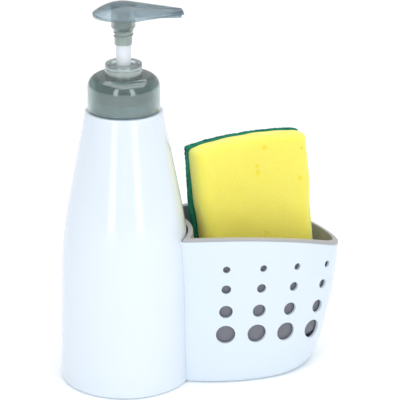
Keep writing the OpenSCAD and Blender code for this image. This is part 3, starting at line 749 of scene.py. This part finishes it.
# %% Stem
stem_r, stem_bore, stem_z0, stem_z1 = 3.85, 2.3, 154.3, 196.9
stem_line = [(r, z, 0.2) for r, z in ((stem_r, stem_z0), (stem_r, stem_z1), (stem_bore, stem_z1),
                                      (stem_bore, stem_z0))]
lathe("white_stem", stem_line, 96, "head", stem_white, "white_stem", ["pump_stem"])


# %% [markdown]
# ## Pump head
# The head is a shallow dome that runs out into a spout, open underneath. Its top is one smooth skin:
# a ball, wrapped by a cone whose point lies just past the spout. Seen from above it is a circle with
# two straight sides, and each of its points takes the height of the ball or of the cone there.

# %% Head skin
head_r, edge_z, edge_h, top_head, head_wall = 15.7, 199.9, 1.2, 206.9, 1.3
spout, tip_r, tip_z, tip_gap, tip_least, spine_end = 31.6, 2.6, 198.7, 0.02, 0.4, 0.97
dome_h = top_head - edge_z - edge_h
crown_r = (head_r ** 2 + dome_h ** 2) / (2 * dome_h)
crown_z = top_head - crown_r
tip_high = tip_z + tip_r - crown_z
ridge_slope = asin(crown_r / hypot(spout, tip_high)) - atan(tip_high / spout)
ridge_l = sqrt(spout ** 2 + tip_high ** 2 - crown_r ** 2)
apex_l = ridge_l / (crown_r / tip_r - 1)
apex = np.array([spout + apex_l * cos(ridge_slope), 0, tip_z + tip_r - apex_l * sin(ridge_slope)])
plan_angle = asin((head_r - tip_r) / spout)
crown = np.array([0, 0, crown_z])
axis, half = (crown - apex) / np.linalg.norm(crown - apex), asin(crown_r / np.linalg.norm(crown - apex))


def crown_height(x, y, g):
    """Height of the skin, drawn in by g: of the ball, or of the cone that wraps it from the apex.

    The cone's point on a vertical line solves a quadratic: the angle to the axis stays the half angle.
    """
    r = crown_r - g
    point, touch = crown - axis * r / sin(half), crown - axis * r * sin(half)
    cc, px = cos(half) ** 2, x - point[0]
    a = axis[2] ** 2 - cc
    b = 2 * axis[2] * (px * axis[0])
    c = (px * axis[0]) ** 2 - cc * (px ** 2 + y ** 2)
    root = np.sqrt(np.maximum(b * b - 4 * a * c, 0))
    cone = np.maximum((-b + root) / (2 * a), (-b - root) / (2 * a)) + point[2]
    ball = crown_z + np.sqrt(np.maximum(r * r - x ** 2 - y ** 2, 0))
    ahead = (x - touch[0]) * -axis[0] + (ball - touch[2]) * -axis[2] > 0
    return np.where(ahead, cone, ball)


def head_outline(g, count=97):
    """Half of the outline in plan: round the lobe from the back, then straight to the spout's end."""
    r, end = head_r - g, spout - tip_gap
    lobe = np.linspace(pi, pi / 2 - plan_angle, count)
    round_part = np.stack([r * np.cos(lobe), r * np.sin(lobe)], axis=-1)
    y_end = max((r - end * sin(plan_angle)) / cos(plan_angle), tip_least)
    t = np.linspace(0, 1, 50)[1:, None]
    return np.concatenate([round_part, round_part[-1] + (np.array([end, y_end]) - round_part[-1]) * t])


def lower_edge(x):
    """The skirt's edge is level under the lobe and falls along the spout."""
    start = head_r * sin(plan_angle)
    return edge_z + np.clip((x - start) / (spout - start), 0, 1) * (tip_z - edge_z)


def head_rows(g, shares):
    """Rows from the edge to the middle: the outline shrinks towards a spine along the spout."""
    line = head_outline(g)
    base = np.concatenate([line, line[-1:0:-1] * np.array([1, -1])])
    spine = np.stack([np.clip(base[:, 0], 0, spout * spine_end), 0 * base[:, 0]], axis=-1)
    rows = [spine + (base - spine) * s for s in shares]
    return np.array([np.column_stack([p, crown_height(p[:, 0], p[:, 1], g)]) for p in rows])


shares_in = np.sin(np.linspace(pi / 2, 0, 26))
outer_top, inner_top = head_rows(0.0, shares_in), head_rows(head_wall, shares_in)
edge, inner_edge = outer_top[:1].copy(), inner_top[:1].copy()
for row in (edge, inner_edge):
    row[..., 2] = lower_edge(row[..., 0])
head_points = np.concatenate([outer_top[::-1], edge, inner_edge, inner_top])
piece("head_skin", *sheet(head_points), "head", smoke_head, "smoke_clear", replaces=["pump_head"])
print("head crown radius", round(crown_r, 2))

# %% Socket, skirt and flow tube
socket_r, socket_top, socket_z, step_r, step_z = 6.35, 205.4, 194.2, 5.45, 192.6
skirt_r, skirt_z, skirt_bore, bore_top, flow_z, flow_r = 4.65, 184.7, 3.88, 196.95, 201.2, 1.6
socket_line = [(socket_r, socket_top, 0), (socket_r, socket_z, 0.2), (step_r, step_z, 0.2),
               (skirt_r, step_z, 0.2), (skirt_r, skirt_z, 0.3), (skirt_bore, skirt_z, 0.2),
               (skirt_bore, bore_top, 0.1), (stem_bore, bore_top, 0.1), (stem_bore, flow_z, 0.2),
               (0, flow_z, 0), (0, socket_top, 0)]
lathe("head_socket", socket_line, 128, "head", smoke_socket, "smoke_clear", closed=False)
slope = atan((flow_z - tip_z) / spout)
tube_start, tube_end, tube_r, tube_tip_r = 6.2, spout / cos(slope) - 0.9, 2.85, 2.45
tube_line = [(tube_r, tube_start, 0.1), (tube_tip_r, tube_end, 0.4), (flow_r, tube_end, 0.2),
             (flow_r, tube_start, 0.1)]
points, faces = turn(rounded(tube_line), 72)
c, s = cos(slope), sin(slope)
points = laid(points, (s, 0, c), (0, 1, 0), (c, 0, -s), (0, 0, flow_z))
piece("head_flow_tube", points, faces, "head", smoke_head, "smoke_clear")

# %% Lock-down thread on the skirt
lock_pitch, lock_z, lock_turns = 1.9, 188.3, 2.2
ridge = np.array([(-0.1, -0.55), (0.5, -0.15), (0.5, 0.15), (-0.1, 0.55)])
piece("head_thread", *coil(skirt_r, lock_pitch, lock_z, lock_turns, ridge), "head", smoke_socket,
      "smoke_clear")


# %% [markdown]
# ## Pump spring
# The spring is wire along a helix, drawn here at rest with even turns. On the pump it is compressed
# when the head is pressed and flattens towards its lower end as the stroke runs: 38.15 mm of it, over a
# seat at 114.0 mm, give way by 17.5 mm.

# %% Spring wire
wire, spring_r, curls, spring_z0, spring_z1 = 0.45, 4.4, 9, 114.5, 151.7
b = np.linspace(0, 2 * np.pi, 12, endpoint=False)
section = wire * np.column_stack([np.cos(b), np.sin(b)])
points, faces = coil(spring_r, (spring_z1 - spring_z0) / curls, spring_z0, curls, section, steps=36, fade=0)
spring = piece("spring_wire", points, faces, "pump_engine", spring_steel, "spring_steel",
               replaces=["pump_spring"])
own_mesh(spring)

# %% Hidden pump pieces keep their own meshes
for node, material in {"piston": pump_natural, "stem_plug": pump_natural, "pump_housing": pump_natural,
                       "valve_ball": ball_steel, "dip_tube": tube_milky, "neck_gasket": gasket_foam}.items():
    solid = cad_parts[node]
    solid.data.materials.clear()
    solid.data.materials.append(material)
    print(node, "in", material.name)


# %% [markdown]
# ## The sponge
# A household sponge is an open-cell foam block with a scouring sheet glued to one face. It stands in
# the liner on its short side and leans back a little. The block is a rounded section carried upwards,
# with an arched top, and its skin is pushed in and out by a sum of soft waves, because cut foam is
# never flat. Above the rim, where nothing holds it, it swells a little. The pores are in the material,
# from two cell patterns and a few larger pits, and light travels some way through the foam. The
# hollows of foam and scouring sheet are painted darker, as painted shade.

# %% Foam and scourer materials
def foam_finish(pits):
    """Two sizes of cells, cloudy patches, a few larger holes given as (place, radius) in mm; painted shade in
    hollows.
    """
    f = Finish("yellow_foam", Specular_IOR_Level=0.25, Sheen_Weight=0.15, Sheen_Roughness=0.6,
               Subsurface_Weight=0.8, Subsurface_Radius=(1.0, 0.9, 0.35), Subsurface_Scale=10.0 * MM)
    cells, fine = f.cells(0.95), f.cells(2.1)
    patch = f.noise(0.06, 3.0, 0.6)
    pit_and_shade = 0.0
    for where, size in pits:
        away = f.node("VectorMath", {"operation": "DISTANCE"}, out="Value",
                      sockets={0: f.place, 1: tuple(where * MM)})
        pit_and_shade = (1 - (away / (size * MM) + fine * 0.3).clip(0.45, 1.0)) + pit_and_shade
    height = cells * 0.55 + fine * 0.35 - pit_and_shade * 2.0
    # The darker yellow sits where the cells sink, where the bump makes hollows: painted shade.
    colour = f.blend(fine * 0.5 + cells * 0.35, (0.90, 0.765, 0.085, 1), (0.985, 0.885, 0.19, 1))
    colour = f.blend(patch * 0.25, colour, (0.97, 0.90, 0.28, 1))
    # The holes are painted a deeper, darker yellow: painted shade inside them.
    colour = f.blend(pit_and_shade * 0.8, colour, (0.94, 0.74, 0.02, 1))
    return f.set(Base_Color=colour, Roughness=fine * 0.1 + 0.82, Normal=f.bump(height, 0.35, 0.55))


def scourer_finish():
    """Strands and knots raise the surface, pale flecks lie on them; dark green where strands sink is painted
    shade.
    """
    f = Finish("green_scourer", Specular_IOR_Level=0.35)
    strands = f.noise(0.9, 6.0, 0.72)
    knots = f.cells(0.7, "SMOOTH_F1")
    patch = f.noise(0.08)
    # Dark green where the strands are low, where the bump sinks: painted shade between the strands.
    colour = f.blend(strands, (0.003, 0.09, 0.05, 1), (0.012, 0.36, 0.21, 1))
    colour = f.blend(patch * 0.4, colour, (0.006, 0.22, 0.14, 1))
    flecks = f.noise(1.5, 2.0, 0.6).clip(0.56, 0.72)
    colour = f.blend(flecks * 0.55, colour, (0.10, 0.55, 0.42, 1))
    return f.set(Base_Color=colour, Roughness=strands * 0.25 + 0.6,
                 Normal=f.bump(strands + knots * 0.7, 0.6, 0.9))


scourer_green = scourer_finish()

# %% Where the sponge stands
sponge_w, foam_t, pad_t, sponge_h, arch = 64.0, 15.4, 5.2, 105.8, 2.4
sponge_at = np.array([46.5, -17.2, 20.5])
lean, tilt, turn_z = radians(8.75), radians(2.6), radians(5.2)
pose = np.array(Matrix.Rotation(turn_z, 3, "Z") @ Matrix.Rotation(-tilt, 3, "Y")
                @ Matrix.Rotation(-lean, 3, "X"))
sponge_gap, foot_h = 0.35, 14.0


def standing(p):
    """Local points are leaned, turned and moved to their place, then pressed in by the liner.

    Points under the floor are lifted to it. In the foot, a point further than the tip arc's radius t from
    that arc's centre is drawn back along the radius until it lies on the arc.
    """
    world = p @ pose.T + sponge_at
    floor = liner_floor + floor_t + sponge_gap
    world[..., 2] = np.maximum(world[..., 2], floor)
    x, y, z = world[..., 0], world[..., 1], world[..., 2]
    _, tip_x, t, join = plan_arcs(z, liner_out + liner_wall + sponge_gap, floor, **foot_in)
    far = np.hypot(x - tip_x, y)
    past = (far > t) & (np.arctan2(x - tip_x, np.abs(y)) > join) & (z < floor + foot_h)
    share = np.where(past, t / np.maximum(far, 1e-6), 1)
    world[..., 0], world[..., 1] = tip_x + (x - tip_x) * share, y * share
    return world


print("sponge stands at", sponge_at.tolist())


# %% A block with an arched top
def arch_height(x):
    """The arched top, an arc of radius R: sponge_h - R + sqrt(R^2 - (x - sponge_w / 2)^2)."""
    arch_r = sponge_w ** 2 / (8 * arch) + arch / 2
    return sponge_h - arch_r + np.sqrt(arch_r ** 2 - (x - sponge_w / 2) ** 2)


def block(x0, x1, y0, y1, round_front, round_back, soft_top, rows=96, per_side=(120, 34), below=3.0):
    """A rounded rectangle carried from below the floor to the arch, and closed along the arch.

    Its top edge is rounded: at angle a the loop is drawn in by soft_top (1 - cos a) and lies
    soft_top (1 - sin a) under the arch.
    """
    corners = [(x0, y0, round_front), (x1, y0, round_front), (x1, y1, round_back), (x0, y1, round_back)]
    loop = []
    for k, (cx, cy, rad) in enumerate(corners):
        nx, ny, nrad = corners[(k + 1) % 4]
        heading = k * pi / 2
        d = np.array([cos(heading), sin(heading)])
        n = np.array([-d[1], d[0]])
        centre = np.array([cx, cy]) + (d + n) * rad
        a = np.linspace(heading - pi, heading - pi / 2, 8, endpoint=False)
        loop.append(centre + rad * np.stack([np.cos(a), np.sin(a)], axis=-1))
        start, end = np.array([cx, cy]) + d * rad, np.array([nx, ny]) - d * nrad
        steps = per_side[k % 2]
        loop.append(start + (end - start) * np.linspace(0, 1, steps, endpoint=False)[:, None])
    loop = np.concatenate(loop)
    middle = np.array([(x0 + x1) / 2, (y0 + y1) / 2])
    tops = arch_height(loop[:, 0])
    out = [np.column_stack([loop, -below + (tops - soft_top + below) * s]) for s in np.linspace(0, 1, rows)]
    size = np.array([(x1 - x0) / 2, (y1 - y0) / 2])
    for a in np.linspace(0, pi / 2, 7)[1:]:
        drawn = middle + (loop - middle) * (1 - soft_top * (1 - cos(a)) / size)
        out.append(np.column_stack([drawn, tops - soft_top * (1 - sin(a))]))
    last = out[-1][:, :2]
    for s in np.linspace(1, 0, 14)[1:]:
        p = middle + (last - middle) * np.array([s ** 0.5, s])
        out.append(np.column_stack([p, arch_height(p[:, 0])]))
    base = out[0]
    bottom = [np.column_stack([middle + (base[:, :2] - middle) * s, base[:, 2]]) for s in (0, 0.35, 0.7)]
    return np.array(bottom + out)


# %% Uneven skin and swelling
def soften(points, amount, seed, size, waves=10):
    """Each point p moves by amount times a sum of waves, v sin(k p + phase), with random v, k and phase."""
    rng = np.random.default_rng(seed)
    shift = np.zeros_like(points)
    for _ in range(waves):
        k = rng.normal(size=3) * 2 * np.pi / size
        shift += rng.normal(size=3) * np.sin(points @ k + rng.uniform(0, 2 * np.pi))[..., None]
    return points + shift * amount / waves ** 0.5


rim_local, swell_left, swell_right, swell_top, ease_share = 62.0, 1.1, 0.9, 1.2, 0.35
pad_overhang, overhang_reach, face_y = 1.7, 20.0, 0.4
pits = [((37.4, 100.5), 2.2), ((32.3, 91.0), 1.7), ((32.5, 87.2), 2.2), ((56.9, 80.4), 2.0),
        ((59.6, 96.7), 1.4), ((34.2, 53.6), 1.6)]
foam_yellow = foam_finish([(standing(np.array([(x, face_y, z)]))[0], size) for (x, z), size in pits])


def swell(points):
    """Above the liner's rim the sponge is free, so it is wider there: most on its left side, and taller.

    With u from 0 at the rim to 1 at the top, and e = u / ease_share up to 1, a side moves out by
    e e (3 - 2 e) of its swell, and the height grows by u swell_top.
    """
    share = np.clip((points[..., 2] - rim_local) / (sponge_h - rim_local), 0, 1)
    ease = np.clip(share / ease_share, 0, 1)
    ease = ease * ease * (3 - 2 * ease)
    out = points.copy()
    side = points[..., 0] / sponge_w
    out[..., 0] += ease * (swell_right * side - swell_left * (1 - side))
    out[..., 2] += share * swell_top
    return out


foam_skin, pad_skin, glue = 0.35, 0.1, 0.05
foam_local = block(foam_skin, sponge_w - foam_skin, foam_skin, foam_t - glue, 6.3, 0.6, soft_top=3.2)
foam_points = standing(swell(soften(foam_local, 0.16, 3, 22.0)))
foam = piece("foam_block", *sheet(foam_points), "sponge", foam_yellow, "foam", sharp=60,
             replaces=["sponge_foam"])
pad_local = block(pad_skin, sponge_w - pad_skin, foam_t + glue, foam_t + pad_t - pad_skin, 0.5, 0.9,
                  soft_top=0.9, per_side=(140, 14))
pad_local[..., 0] -= (pad_overhang * np.exp(-((pad_local[..., 2] - rim_local) / overhang_reach) ** 2)
                      * (1 - pad_local[..., 0] / sponge_w))
pad_points = standing(swell(soften(soften(pad_local, 0.10, 5, 16.0), 0.20, 8, 2.2)))
pad = piece("scouring_sheet", *sheet(pad_points), "sponge", scourer_green, "scourer", sharp=60,
            replaces=["scouring_pad"])
print("sponge top at", round(float(foam_points[..., 2].max()), 1), "mm")


# %% [markdown]
# ## Floor and light
# The object stands on a plain pale floor that glows very faintly. Two tall, narrow soft boxes stand
# upright either side of the camera and give the pair of upright highlights on the collar and the
# bottle. A large one above and pale surroundings do the rest.

# %% Floor
span, floor_z = 6.0, -0.0002
corners = [(x * span, y * span, floor_z) for x, y in ((-1, -1), (1, -1), (1, 1), (-1, 1))]
floor_mesh = bpy.data.meshes.new("floor")
floor_mesh.from_pydata(corners, [], [(0, 1, 2, 3)])
floor = placed("floor", floor_mesh)
paper = Finish("floor_white", Base_Color=(0.93, 0.93, 0.93, 1), Roughness=0.9, Specular_IOR_Level=0.1,
               Emission_Color=(0.8, 0.92, 1, 1), Emission_Strength=0.12)
floor_mesh.materials.append(paper.material)
print("floor", 2 * span, "m wide")

# %% Soft boxes and surroundings
target = Vector((35, 0, 95)) * MM


def soft_box(name, azimuth, height, distance, width, tall, power, level=False):
    """An area light, azimuth degrees round from the camera's side, aimed at the object or level."""
    lamp = bpy.data.lights.new(name, "AREA")
    lamp.shape, lamp.size, lamp.size_y, lamp.energy = "RECTANGLE", width, tall, power
    obj = placed(name, lamp)
    a = radians(azimuth)
    where = turned(sin(a) * distance, -cos(a) * distance, height)
    obj.location = where + Vector((target.x, target.y, 0))
    aim = Vector((target.x, target.y, height if level else target.z))
    obj.rotation_euler = (aim - obj.location).to_track_quat("-Z", "Y").to_euler()


for name, azimuth in (("strip_left", -27), ("strip_right", 27)):
    soft_box(name, azimuth, height=0.76, distance=1.25, width=0.30, tall=1.5, power=3.7, level=True)
soft_box("overhead", 120, height=2.1, distance=0.2, width=3.0, tall=3.0, power=46)
world = bpy.data.worlds.new("pale_room")
world.use_nodes = True
sky_colour, sky_strength = world.node_tree.nodes["Background"].inputs[:2]
sky_colour.default_value, sky_strength.default_value = (0.97, 0.985, 1.0, 1), 0.44
scene.world = world
scene.view_settings.view_transform = "Standard"
